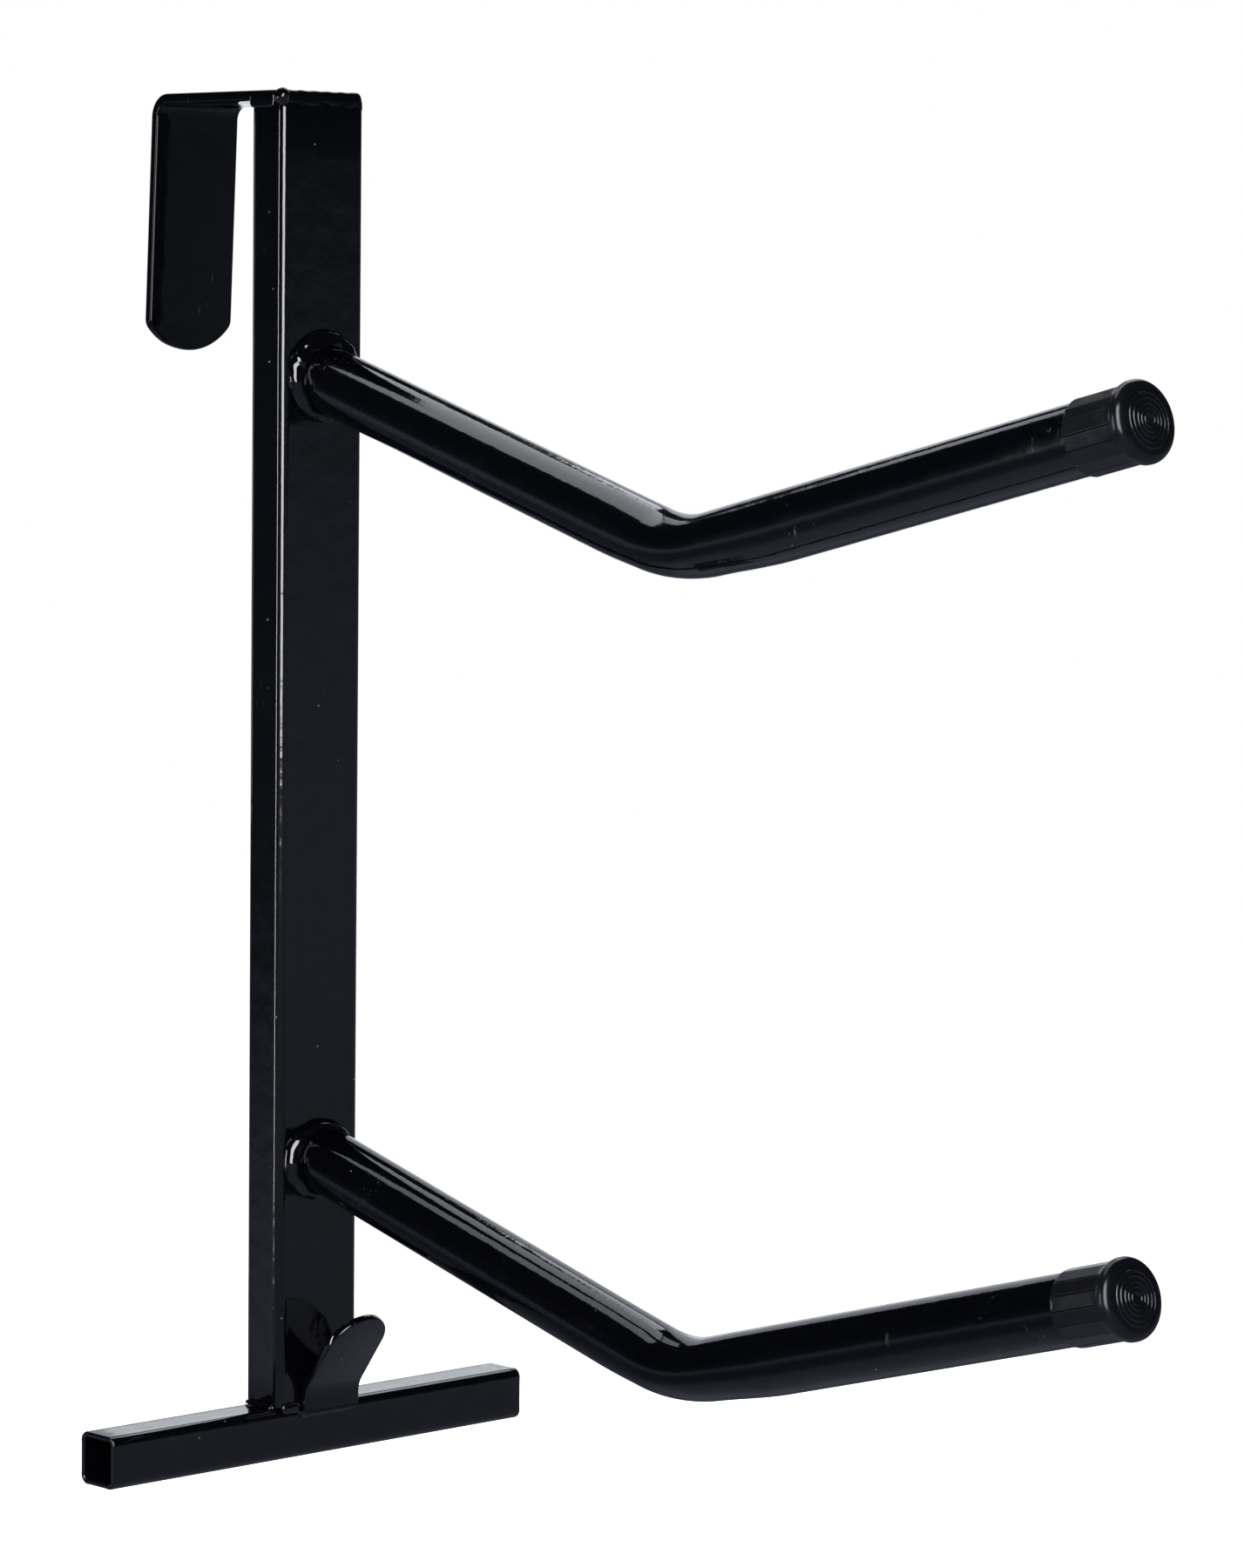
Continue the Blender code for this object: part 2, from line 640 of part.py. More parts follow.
def make_foot_bead():
    """Flat bead on the post's front face, between its left corner and the tongue."""
    face = POST_FRONT - JOINT_GAP
    left = -POST_WIDTH / 2 + POST_CORNER
    right = TONGUE_SHIFT - TONGUE_WIDTH / 2 - JOINT_GAP
    high = CROSSBAR_TOP + FOOT_BEAD_HEIGHT / 2
    low = CROSSBAR_TOP - FOOT_BEAD_HEIGHT / 2
    start = Vector((left, face, 0))
    end = Vector((right, face, 0))
    return seam_bead("post_front_weld", start, end, Vector((0, -1, 0)), low, high, FOOT_BEAD_DEPTH)


def make_tongue_bead():
    """Fillet bead under the tongue's foot, on the crossbar's front face."""
    half = TONGUE_WIDTH / 2
    y = POST_FRONT - JOINT_GAP
    z = CROSSBAR_TOP - TONGUE_FOOT_DROP - JOINT_GAP
    start = Vector((TONGUE_SHIFT - half, y, z))
    end = Vector((TONGUE_SHIFT + half, y, z))
    quarter_bead("tongue_weld", start, end, Vector((0, -1, 0)), Vector((0, 0, -1)), TONGUE_BEAD_LEG)


# ---- assembly --------------------------------------------------------------------------------
def build():
    """Make every piece of the rack."""
    clear_scene()
    make_post()
    make_crossbar()
    make_hook_strap()
    upper = (UPPER_ARM_HEIGHT, UPPER_ARM_TILT, UPPER_ARM_ROOT_RUN, UPPER_ARM_TIP_RUN)
    lower = (LOWER_ARM_HEIGHT, LOWER_ARM_TILT, LOWER_ARM_ROOT_RUN, LOWER_ARM_TIP_RUN)
    for name, arm in (("upper_arm", upper), ("lower_arm", lower)):
        make_arm(name, *arm)
        make_cap(name + "_cap", arm_end(*arm))
        make_arm_bead(name + "_weld", arm[0], arm[1])
    make_tongue()
    make_strap_front_bead()
    make_strap_side_bead("strap_left_weld", -1)
    make_strap_side_bead("strap_right_weld", 1)
    make_corner_bead()
    make_rear_bead()
    make_foot_bead()
    make_base_bead("post_left_weld", -1)
    make_base_bead("post_right_weld", 1)
    make_tongue_bead()


build()
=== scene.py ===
"""Looks of the hook-over wall rack: coated tubes, lumpy weld beads and ringed end caps.

Every shape is a surface over a grid of two parameters, worked out as whole numpy arrays in the
frame's own metres: +Z up, +X along the crossbar, -Y the front that the arms reach towards.
"""

import math

import bmesh
import bpy
import numpy as np
from mathutils import Matrix, Vector


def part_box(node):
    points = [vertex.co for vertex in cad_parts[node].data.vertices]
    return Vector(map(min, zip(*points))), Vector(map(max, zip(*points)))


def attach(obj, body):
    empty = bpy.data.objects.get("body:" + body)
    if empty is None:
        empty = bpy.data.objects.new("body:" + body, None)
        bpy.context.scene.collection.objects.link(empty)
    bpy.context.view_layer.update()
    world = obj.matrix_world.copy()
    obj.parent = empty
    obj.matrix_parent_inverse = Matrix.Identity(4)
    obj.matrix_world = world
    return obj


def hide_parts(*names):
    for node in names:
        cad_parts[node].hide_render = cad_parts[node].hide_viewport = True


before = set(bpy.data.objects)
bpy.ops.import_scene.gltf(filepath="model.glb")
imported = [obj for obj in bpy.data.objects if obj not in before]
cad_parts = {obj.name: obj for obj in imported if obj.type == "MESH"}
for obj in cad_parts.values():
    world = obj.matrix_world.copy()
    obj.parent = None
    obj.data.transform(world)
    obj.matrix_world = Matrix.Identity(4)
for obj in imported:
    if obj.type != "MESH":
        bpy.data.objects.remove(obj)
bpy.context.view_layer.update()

# ---- places taken from the frame -----------------------------------------------------------------
GAP = 0.0003                    # left in the frame between pieces that touch
SIDE = np.array([1.0, 0.0, 0.0])
BACK = np.array([0.0, 1.0, 0.0])
UP = np.array([0.0, 0.0, 1.0])

post_low, post_high = (np.array(corner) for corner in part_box("post"))
bar_low, bar_high = (np.array(corner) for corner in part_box("crossbar"))
tongue_low, tongue_high = (np.array(corner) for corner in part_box("tongue_hook"))

POST_FRONT = post_low[1]
POST_BACK = post_high[1]
POST_SIDE = post_high[0]
CROSSBAR_TOP = bar_high[2]

# ---- sizes of tube and bar -----------------------------------------------------------------------
TUBE_WALL = 0.002
BAR_CORNER = 0.0036             # outside corner radius of the crossbar
POST_CORNER = 0.0035            # and of the post
CUT_EDGE = 0.0006               # rounding that the coat leaves on a sawn end
DISH_DEPTH = 0.00010            # how far the flats sink behind their corners
DISH_REACH = 0.0008             # over what distance they do
DISH_LEVEL = 0.0036             # and how far from the corner they are level again

STRAP_THICKNESS = 0.004
STRAP_HALF = 0.020
STRAP_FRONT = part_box("hook_strap")[0][1]
STRAP_EDGE = 0.0009
STRAP_BEND = 0.005              # inside radius over the board
LEG_SPLAY = math.radians(2.7)
LEG_LENGTH = 0.0937
LEG_TIP_RADIUS = 0.025
LEG_TIP_CORNER = 0.005
THROAT_END = 0.0275             # where the leg's inner face would meet the underside
RELIEF_END = POST_BACK + 0.0026  # the underside clears post and bead up to here
STRAP_FRONT_CORNER = 0.003

ARM_RADIUS = 0.0125
ARM_COLUMNS = 96
ARM_BEND = math.radians(30.5)
ARM_BEND_RADIUS = 0.058
# bead_reach: degrees round the tube, 0 at +X and 90 on top, and the bead's reach on the post there
ARMS = {
    "upper_arm": {"height": 0.3916, "tilt": math.radians(-1.6), "root_run": 0.2046, "tip_run": 0.2172,
                  "bead_reach": [(0, 0.0042), (60, 0.0046), (90, 0.0049), (120, 0.0046), (160, 0.0050),
                                 (190, 0.0052), (225, 0.0040), (270, 0.0032), (320, 0.0030)],
                  "bead_ripple": 0.00034, "bead_seed": 11},
    "lower_arm": {"height": 0.0957, "tilt": math.radians(0.1), "root_run": 0.2087, "tip_run": 0.2147,
                  "bead_reach": [(0, 0.0026), (45, 0.0020), (90, 0.0012), (120, 0.0018), (155, 0.0044),
                                 (180, 0.0053), (210, 0.0052), (245, 0.0036), (270, 0.0022), (320, 0.0016)],
                  "bead_ripple": 0.00013, "bead_seed": 18},
}
BEND_FLATTENING = 0.08          # share of its radius that a section loses in the bend
BEND_INWARD = 0.08              # and by which it sits towards the inside there
BEND_WIDENING = 0.08            # share of its width that it gains
FLATTENED_REACH = 0.045         # how far this runs each way
FLATTENED_SHIFT = 0.006         # its middle, past the bend's middle
DENT_DEPTH = 0.00008            # crease pressed into the inside of the bend
DENT_REACH = 0.014

DROPS = 10                      # drops of weld metal round an arm
BEAD_CLIMB = 0.0046             # mean reach of an arm's bead along the tube
DROP_LENGTH = 0.005             # of one drop in a straight bead

CAP_FACE = 0.0021               # plastic in front of the tube's end
CAP_HEAD_RADIUS = 0.01415
CAP_HEAD_THICKNESS = 0.0046
CAP_RIM = 0.0032
CAP_CROWN = 0.0006
CAP_SLEEVE_RADIUS = ARM_RADIUS + GAP + 0.0006
CAP_SLEEVE_LENGTH = 0.0215
CAP_SHOULDER = 0.0005           # radius at the head's rear edge
CAP_FACETS = 16
CAP_GROOVE = 0.0005             # depth of the seams between the sleeve's flats
CAP_RINGS = (0.0092, 0.0074, 0.0055, 0.0039, 0.0023)
CAP_RING_HEIGHT = 0.0005
CAP_RING_WIDTH = 0.00033
CAP_RING_LIMIT = 0.0102         # the face is plain outside this radius
CAP_NIB = 0.0006                # height of the sprue mark, and depth of the dimple round it

TONGUE_HALF = 0.0135
TONGUE_THICKNESS = 0.003
TONGUE_EDGE = 0.0007
TONGUE_LEAN = math.radians(36)
TONGUE_FOOT = 0.0042            # length of the upright stretch
TONGUE_LEAF = 0.0334            # and of the leaning one
TONGUE_BEND = 0.010


# ---- mesh tools ----------------------------------------------------------------------------------
def grid_faces(rows, columns, wrap_rows, wrap_columns):
    """Corner numbers of the four-sided faces between neighbouring rows and columns of a grid."""
    last_row = rows if wrap_rows else rows - 1
    last_column = columns if wrap_columns else columns - 1
    row, column = np.meshgrid(np.arange(last_row), np.arange(last_column), indexing="ij")
    next_row = (row + 1) % rows
    next_column = (column + 1) % columns
    corners = [row * columns + column, row * columns + next_column,
               next_row * columns + next_column, next_row * columns + column]
    return np.stack([corner.ravel() for corner in corners], axis=1)


def end_faces(rows, columns):
    """Faces that close both open ends of a ring of rows, from one side of the ring to the other."""
    near = np.arange(rows // 2 - 1)
    ring = np.stack([near, near + 1, rows - 2 - near, rows - 1 - near], axis=1)
    middle = rows // 2
    last = [[middle - 1, middle, rows - middle, rows - middle]] if rows % 2 else []
    ring = np.concatenate([ring, np.array(last, int).reshape(-1, 4)])
    return np.concatenate([ring * columns, ring * columns + columns - 1])


def make_piece(name, points, faces, material, nodes, smooth_angle=40):
    """A finished object from points and faces; points that coincide are joined first."""
    mesh = bpy.data.meshes.new(name)
    mesh.from_pydata(points.reshape(-1, 3).tolist(), [], faces.tolist())
    shape = bmesh_from(mesh)
    bmesh.ops.remove_doubles(shape, verts=shape.verts, dist=0.000002)
    bmesh.ops.recalc_face_normals(shape, faces=shape.faces)
    shape.to_mesh(mesh)
    shape.free()
    mesh.shade_smooth()
    mesh.set_sharp_from_angle(angle=math.radians(smooth_angle))
    mesh.materials.append(material)
    piece = bpy.data.objects.new(name, mesh)
    bpy.context.scene.collection.objects.link(piece)
    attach(piece, "root")
    if nodes:
        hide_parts(*nodes)
    return piece


def bmesh_from(mesh):
    """A bmesh that holds a mesh's faces."""
    shape = bmesh.new()
    shape.from_mesh(mesh)
    return shape


def smooth_step(value):
    """0 below 0, 1 above 1, and an S-curve between them."""
    value = np.clip(value, 0, 1)
    return value * value * (3 - 2 * value)


def wander(angle, waves, seed, size=1.0):
    """A closed, uneven ripple: sines of whole numbers of waves per turn with seeded phases."""
    random = np.random.default_rng(seed)
    total = np.zeros_like(angle)
    for count in waves:
        total = total + np.sin(count * angle + random.uniform(0, 2 * math.pi)) * random.uniform(0.5, 1)
    return size * total / len(waves)


# ---- materials -----------------------------------------------------------------------------------
def new_material(name):
    """An empty node material with its output, and a helper that adds and sets nodes."""
    material = bpy.data.materials.new(name)
    material.use_nodes = True
    nodes = material.node_tree.nodes
    nodes.clear()

    def add(kind, inputs=None, **settings):
        node = nodes.new(kind)
        for key, value in settings.items():
            setattr(node, key, value)
        for key, value in (inputs or {}).items():
            if isinstance(value, bpy.types.NodeSocket):
                material.node_tree.links.new(value, node.inputs[key])
            else:
                node.inputs[key].default_value = value
        return node

    return material, add


def powder_coat(name, peel=0.00003, roughness=0.06, wave=0.00012, shine=0.5):
    """Gloss black powder coat: fine orange peel, slow waves, dust nibs and faint scuffs; the nibs' lighter
    grey is a painted highlight, the scuffs' lighter grey is wear.

    peel and wave are the depths of its unevenness; shine is the level of its reflections.
    """
    material, add = new_material(name)
    place = add("ShaderNodeTexCoord").outputs["Object"]
    peel_noise = add("ShaderNodeTexNoise", {"Vector": place, "Scale": 420.0, "Detail": 1.5,
                                            "Roughness": 0.5})
    wave_noise = add("ShaderNodeTexNoise", {"Vector": place, "Scale": 90.0, "Detail": 1.0})
    patch_noise = add("ShaderNodeTexNoise", {"Vector": place, "Scale": 38.0, "Detail": 4.0,
                                             "Roughness": 0.65})
    nib_cells = add("ShaderNodeTexVoronoi", {"Vector": place, "Scale": 85.0, "Randomness": 1.0})
    nib = add("ShaderNodeMapRange", {"Value": nib_cells.outputs["Distance"], "From Min": 0.032,
                                     "From Max": 0.044, "To Min": 1.0, "To Max": 0.0})
    rough = add("ShaderNodeMapRange", {"Value": patch_noise.outputs["Fac"], "From Min": 0.35,
                                       "From Max": 0.75, "To Min": roughness, "To Max": roughness + 0.05})
    drawn = add("ShaderNodeMapping", {"Vector": place, "Rotation": (0.25, 0.3, 0.4),
                                      "Scale": (900.0, 900.0, 70.0)})
    line_noise = add("ShaderNodeTexNoise", {"Vector": drawn.outputs["Vector"], "Scale": 1.0,
                                            "Detail": 1.0})
    line = add("ShaderNodeMapRange", {"Value": line_noise.outputs["Fac"], "From Min": 0.66,
                                      "From Max": 0.74})
    worn = add("ShaderNodeMapRange", {"Value": patch_noise.outputs["Fac"], "From Min": 0.62,
                                      "From Max": 0.72})
    scuff = add("ShaderNodeMath", {0: line.outputs["Result"], 1: worn.outputs["Result"]},
                operation="MULTIPLY")
    dark = add("ShaderNodeMix", {"Factor": patch_noise.outputs["Fac"]}, data_type="RGBA")
    dark.inputs["A"].default_value = (0.0004, 0.00048, 0.0009, 1.0)
    dark.inputs["B"].default_value = (0.0004 * 1.7, 0.00048 * 1.7, 0.0009 * 1.6, 1.0)
    # where the lighter grey goes: on the nibs it is a painted highlight, on the scuffs it is wear
    scuff_and_nib_highlight = add("ShaderNodeMath", {0: nib.outputs["Result"], 1: scuff.outputs["Value"]},
               operation="MAXIMUM")
    colour = add("ShaderNodeMix", {"Factor": scuff_and_nib_highlight.outputs["Value"], "A": dark.outputs["Result"]},
                 data_type="RGBA")
    # lighter grey: painted highlight on the nibs, wear on the scuffs
    colour.inputs["B"].default_value = (0.05, 0.05, 0.055, 1.0)
    waves = add("ShaderNodeBump", {"Height": wave_noise.outputs["Fac"], "Strength": 1.0, "Distance": wave})
    peeled = add("ShaderNodeBump", {"Height": peel_noise.outputs["Fac"], "Strength": 1.0, "Distance": peel,
                                    "Normal": waves.outputs["Normal"]})
    nibbed = add("ShaderNodeBump", {"Height": nib.outputs["Result"], "Strength": 1.0, "Distance": 0.00012,
                                    "Normal": peeled.outputs["Normal"]})
    shader = add("ShaderNodeBsdfPrincipled", {
        "Base Color": colour.outputs["Result"], "Roughness": rough.outputs["Result"],
        "Normal": nibbed.outputs["Normal"], "IOR": 1.5, "Specular IOR Level": shine})
    add("ShaderNodeOutputMaterial", {"Surface": shader.outputs["BSDF"]})
    return material


def cap_plastic(name):
    """Satin black moulded plastic with a fine leathery grain."""
    material, add = new_material(name)
    place = add("ShaderNodeTexCoord").outputs["Object"]
    grain = add("ShaderNodeTexNoise", {"Vector": place, "Scale": 1500.0, "Detail": 3.0, "Roughness": 0.6})
    bloom = add("ShaderNodeTexNoise", {"Vector": place, "Scale": 140.0, "Detail": 3.0})
    rough = add("ShaderNodeMapRange", {"Value": bloom.outputs["Fac"], "From Min": 0.3, "From Max": 0.7,
                                       "To Min": 0.17, "To Max": 0.25})
    colour = add("ShaderNodeMix", {"Factor": bloom.outputs["Fac"]}, data_type="RGBA")
    colour.inputs["A"].default_value = (0.0018, 0.0019, 0.0026, 1.0)
    colour.inputs["B"].default_value = (0.0036, 0.0038, 0.0050, 1.0)
    bump = add("ShaderNodeBump", {"Height": grain.outputs["Fac"], "Strength": 0.6, "Distance": 0.000025})
    shader = add("ShaderNodeBsdfPrincipled", {
        "Base Color": colour.outputs["Result"], "Roughness": rough.outputs["Result"],
        "Normal": bump.outputs["Normal"], "IOR": 1.5, "Specular IOR Level": 0.27,
        "Specular Tint": (0.86, 0.91, 1.0, 1.0)})
    add("ShaderNodeOutputMaterial", {"Surface": shader.outputs["BSDF"]})
    return material


# ---- rectangular tubes ---------------------------------------------------------------------------
def dished_outline(width, depth, corner, inset, per_corner=10, per_side=14):
    """Closed outline of a tube's cross-section.

    Four corner arcs joined by flats; each flat sinks behind its corners by a depth that grows
    as one minus e to the minus distance over the dish's reach.
    """
    radius = max(corner - inset, corner / 8)
    half = np.array([width / 2 - inset, depth / 2 - inset])
    near = np.array([0.0002, 0.0004, 0.0007, 0.0011, 0.0017, 0.0026])
    points = []
    for quarter in range(4):
        turn = quarter * math.pi / 2
        swing = turn + np.linspace(0, math.pi / 2, per_corner + 1)
        signs = np.array([[1, 1], [-1, 1], [-1, -1], [1, -1]][quarter])
        centre = signs * (half - radius)
        points.append(centre + radius * np.stack([np.cos(swing), np.sin(swing)], axis=1))
        out = np.array([math.cos(turn + math.pi / 2), math.sin(turn + math.pi / 2)])
        along = np.array([math.cos(turn + math.pi), math.sin(turn + math.pi)])
        run = 2 * (half[0] if quarter % 2 == 0 else half[1]) - 2 * radius
        middle = np.linspace(DISH_LEVEL, run - DISH_LEVEL, per_side)
        steps = np.concatenate([near, middle, run - near[::-1]])
        nearest = np.minimum(steps, run - steps)
        sink = DISH_DEPTH * (1 - np.exp(-nearest / DISH_REACH))
        start = centre + radius * out
        points.append(start + steps[:, None] * along - sink[:, None] * out)
    return np.concatenate(points)


def tube_surface(width, depth, corner, wall, length):
    """Wall of a straight tube along +Z as a ring of rows: up the outside, over the sawn edge,
    down the inside and back under.  Each row is the cross-section's outline at its own inset."""
    swing = np.linspace(0, math.pi / 2, 4)
    outer_inset = CUT_EDGE * (1 - np.cos(swing))
    edge_drop = CUT_EDGE * (1 - np.sin(swing))
    inner_inset = wall - outer_inset[::-1]
    rows = [(0.0, z) for z in np.linspace(CUT_EDGE, length - CUT_EDGE, 24)[1:-1]]
    rows += [(inset, length - drop) for inset, drop in zip(outer_inset, edge_drop)]
    rows += [(inset, length - drop) for inset, drop in zip(inner_inset, edge_drop[::-1])]
    rows += list(zip(inner_inset[::-1], edge_drop))
    rows += list(zip(outer_inset[::-1], edge_drop[::-1]))
    grid = []
    for inset, z in rows:
        outline = dished_outline(width, depth, corner, inset)
        grid.append(np.column_stack([outline, np.full(len(outline), z)]))
    return np.stack(grid)


def make_tube(name, grid, to_frame, material, node):
    """Place a tube's grid and make it an object that replaces its node."""
    points = grid @ to_frame[:3, :3].T + to_frame[:3, 3]
    faces = grid_faces(grid.shape[0], grid.shape[1], True, True)
    return make_piece(name, points, faces, material, [node])


def make_post(material):
    """Upright rectangular tube."""
    width = post_high[0] - post_low[0]
    depth = post_high[1] - post_low[1]
    height = post_high[2] - post_low[2]
    grid = tube_surface(width, depth, POST_CORNER, TUBE_WALL, height)
    place = np.eye(4)
    place[:3, 3] = [(post_low[0] + post_high[0]) / 2, (POST_FRONT + POST_BACK) / 2, post_low[2]]
    return make_tube("post_tube", grid, place, material, "post")


def make_crossbar(material):
    """Square tube that lies along X: its local axes turn to Z, Y and X."""
    length, depth, height = bar_high - bar_low
    grid = tube_surface(height, depth, BAR_CORNER, TUBE_WALL, length)
    place = np.eye(4)
    place[:3, :3] = np.array([[0, 0, 1], [0, 1, 0], [-1, 0, 0]])
    place[:3, 3] = [bar_low[0], (bar_low[1] + bar_high[1]) / 2, (bar_low[2] + bar_high[2]) / 2]
    return make_tube("crossbar_tube", grid, place, material, "crossbar")


# ---- flat bars with rounded edges ----------------------------------------------------------------
def edge_profile(thickness, edge, steps=5):
    """Around a bar's long edge from its top face to its underside: (inset, height) pairs."""
    swing = np.linspace(0, math.pi / 2, steps)
    inset = edge * (1 - np.sin(swing))
    drop = edge * (1 - np.cos(swing))
    upper = np.stack([inset, thickness - drop], axis=1)
    lower = np.stack([inset[::-1], drop[::-1]], axis=1)
    return np.concatenate([upper, lower])


def bar_rows(outline, profile, to_space):
    """Rows across a flat bar.

    outline holds (half-width, distance, normal across, normal along) along one long side. Each
    row runs round both sides' edge profiles, set in along the outline's own normal, and
    to_space turns distances and heights into places.
    """
    width, along, normal_across, normal_along = outline.T
    inset, height = profile.T
    across = width[:, None] - normal_across[:, None] * inset[None]
    distance = along[:, None] - normal_along[:, None] * inset[None]
    heights = np.broadcast_to(height, distance.shape)
    right = to_space(across, distance, heights)
    left = to_space(-across[:, ::-1], distance[:, ::-1], heights[:, ::-1])
    return np.concatenate([right, left], axis=1)


def bar_faces(rows, columns):
    """Faces round a flat bar, with its square end zipped from side to side."""
    sides = grid_faces(rows, columns, False, True)
    near = np.arange(columns // 2 - 1)
    far = columns - 1 - near
    zipped = np.stack([near, near + 1, far - 1, far], axis=1)
    return np.concatenate([sides, zipped])


def tip_arc(centre_across, centre_along, radius, start, stop, steps):
    """Points of an outline on an arc, with the arc's own normals."""
    swing = np.linspace(start, stop, steps)
    return np.stack([centre_across + radius * np.cos(swing), centre_along + radius * np.sin(swing),
                     np.cos(swing), np.sin(swing)], axis=1)


def straight_side(half, start, stop, steps):
    """Points of an outline along a straight side."""
    along = np.linspace(start, stop, steps)
    return np.stack([np.full(steps, half), along, np.ones(steps), np.zeros(steps)], axis=1)


def make_strap(material):
    """Flat bar over the post, round its bend and down the leg to an arched end.

    A point runs level, then swings about the bend's centre at the inside radius plus its own
    height in the bar, then runs straight along the leg.
    """
    turn = math.pi / 2 - LEG_SPLAY
    setback = STRAP_BEND * math.tan(turn / 2)
    level = THROAT_END - setback - STRAP_FRONT
    arc = STRAP_BEND * turn
    total = level + arc + LEG_LENGTH / math.cos(LEG_SPLAY) - setback
    centre_y = THROAT_END - setback

    def to_space(across, distance, height):
        height = np.where(distance < RELIEF_END - STRAP_FRONT, np.maximum(height, GAP), height)
        swing = np.clip((distance - level) / STRAP_BEND, 0, turn)
        radius = STRAP_BEND + height
        past = np.maximum(distance - level - arc, 0)
        y = centre_y + np.minimum(distance - level, 0) + radius * np.sin(swing) + past * math.cos(turn)
        z = -STRAP_BEND + radius * np.cos(swing) - past * math.sin(turn)
        return np.stack([across, y, z], axis=-1)

    front = STRAP_FRONT_CORNER
    corner_across = STRAP_HALF - LEG_TIP_CORNER
    rise = math.sqrt((LEG_TIP_RADIUS - LEG_TIP_CORNER) ** 2 - corner_across ** 2)
    corner_along = total - LEG_TIP_RADIUS + rise
    join = math.atan2(rise, corner_across)
    outline = np.concatenate([
        tip_arc(STRAP_HALF - front, front, front, -math.pi / 2, 0, 9),
        straight_side(STRAP_HALF, front, level, 12)[1:],
        straight_side(STRAP_HALF, level, level + arc, 18)[1:],
        straight_side(STRAP_HALF, level + arc, corner_along, 12)[1:],
        tip_arc(corner_across, corner_along, LEG_TIP_CORNER, 0, join, 12)[1:],
        tip_arc(0, total - LEG_TIP_RADIUS, LEG_TIP_RADIUS, join, math.pi / 2, 28)[1:],
    ])
    grid = bar_rows(outline, edge_profile(STRAP_THICKNESS, STRAP_EDGE), to_space)
    faces = bar_faces(*grid.shape[:2])
    return make_piece("hook_strap_bar", grid, faces, material, ["hook_strap"])


def make_tongue(material):
    """Small plate, upright at its foot and bent forward to a round tip.

    A point rises, then swings about a centre in front of the plate at the outer radius less its
    own height in the plate, then runs straight along the leaf.
    """
    back = POST_FRONT - GAP
    shift = (tongue_low[0] + tongue_high[0]) / 2
    foot = tongue_low[2]
    radius = TONGUE_BEND + TONGUE_THICKNESS
    arc = radius * TONGUE_LEAN
    total = TONGUE_FOOT + arc + TONGUE_LEAF

    def to_space(across, distance, height):
        swing = np.clip((distance - TONGUE_FOOT) / radius, 0, TONGUE_LEAN)
        reach = radius - height
        past = np.maximum(distance - TONGUE_FOOT - arc, 0)
        y = back - radius + reach * np.cos(swing) - past * math.sin(TONGUE_LEAN)
        z = foot + np.minimum(distance, TONGUE_FOOT) + reach * np.sin(swing) + past * math.cos(TONGUE_LEAN)
        return np.stack([across + shift, y, z], axis=-1)

    outline = np.concatenate([
        straight_side(TONGUE_HALF, 0, TONGUE_FOOT, 4),
        straight_side(TONGUE_HALF, TONGUE_FOOT, TONGUE_FOOT + arc, 8)[1:],
        straight_side(TONGUE_HALF, TONGUE_FOOT + arc, total - TONGUE_HALF, 8)[1:],
        tip_arc(0, total - TONGUE_HALF, TONGUE_HALF, 0, math.pi / 2, 36)[1:],
    ])
    grid = bar_rows(outline, edge_profile(TONGUE_THICKNESS, TONGUE_EDGE), to_space)
    faces = bar_faces(*grid.shape[:2])
    return make_piece("tongue_plate", grid, faces, material, ["tongue_hook"])


# ---- arms ----------------------------------------------------------------------------------------
def arm_ways(arm):
    """Directions of the root run and the tip run, and the root's point on the post's face."""
    slopes = (arm["tilt"] - ARM_BEND / 2, arm["tilt"] + ARM_BEND / 2)
    root_way, tip_way = (np.array([0, -math.cos(s), math.sin(s)]) for s in slopes)
    root = np.array([0, POST_FRONT, CROSSBAR_TOP + arm["height"]])
    return root_way, tip_way, root


def arm_line(arm, along):
    """Centre line of an arm: straight, an arc, straight.  along is measured from the bend's
    middle.  Gives points and the unit vectors across the tube, upwards in the bend's plane."""
    root_way, tip_way, root = arm_ways(arm)
    setback = ARM_BEND_RADIUS * math.tan(ARM_BEND / 2)
    half_arc = ARM_BEND_RADIUS * ARM_BEND / 2
    start = root + (arm["root_run"] - setback) * root_way
    lift = np.cross(root_way, SIDE)
    swing = np.clip((along + half_arc) / ARM_BEND_RADIUS, 0, ARM_BEND)[:, None]
    before = np.minimum(along + half_arc, 0)[:, None]
    past = np.maximum(along - half_arc, 0)[:, None]
    arc = ARM_BEND_RADIUS * (np.sin(swing) * root_way + (1 - np.cos(swing)) * lift)
    point = start + before * root_way + arc + past * tip_way
    upward = np.cos(swing) * lift - np.sin(swing) * root_way
    return point, upward


def arm_surface(arm, radius, along):
    """Rows of the tube along its centre line, each a circle that the bend presses flat.

    Depth shrinks, width grows and the section moves inwards by a squared cosine about the bend,
    so that only its outside is flattened; the inside takes a narrow crease that fades round the
    tube as the square of the sine.
    """
    swing = np.linspace(0, 2 * math.pi, ARM_COLUMNS, endpoint=False)[None]
    point, upward = arm_line(arm, along)
    place = np.clip((along - FLATTENED_SHIFT) / FLATTENED_REACH, -1, 1)
    flat = np.cos(math.pi / 2 * place)[:, None] ** 2
    crease = DENT_DEPTH * np.exp(-((along[:, None] - FLATTENED_SHIFT) / DENT_REACH) ** 2)
    across = radius * (1 + BEND_WIDENING * flat) * np.cos(swing)
    deep = radius * ((1 - BEND_FLATTENING * flat) * np.sin(swing) + BEND_INWARD * flat)
    deep = deep - crease * np.clip(np.sin(swing), 0, 1) ** 2
    rows = point[:, None] + across[..., None] * SIDE + deep[..., None] * upward[:, None]
    root_way = arm_ways(arm)[0]
    reach = (POST_FRONT - GAP - rows[0, :, 1]) / root_way[1]
    rows[0] = rows[0] + reach[:, None] * root_way
    return rows


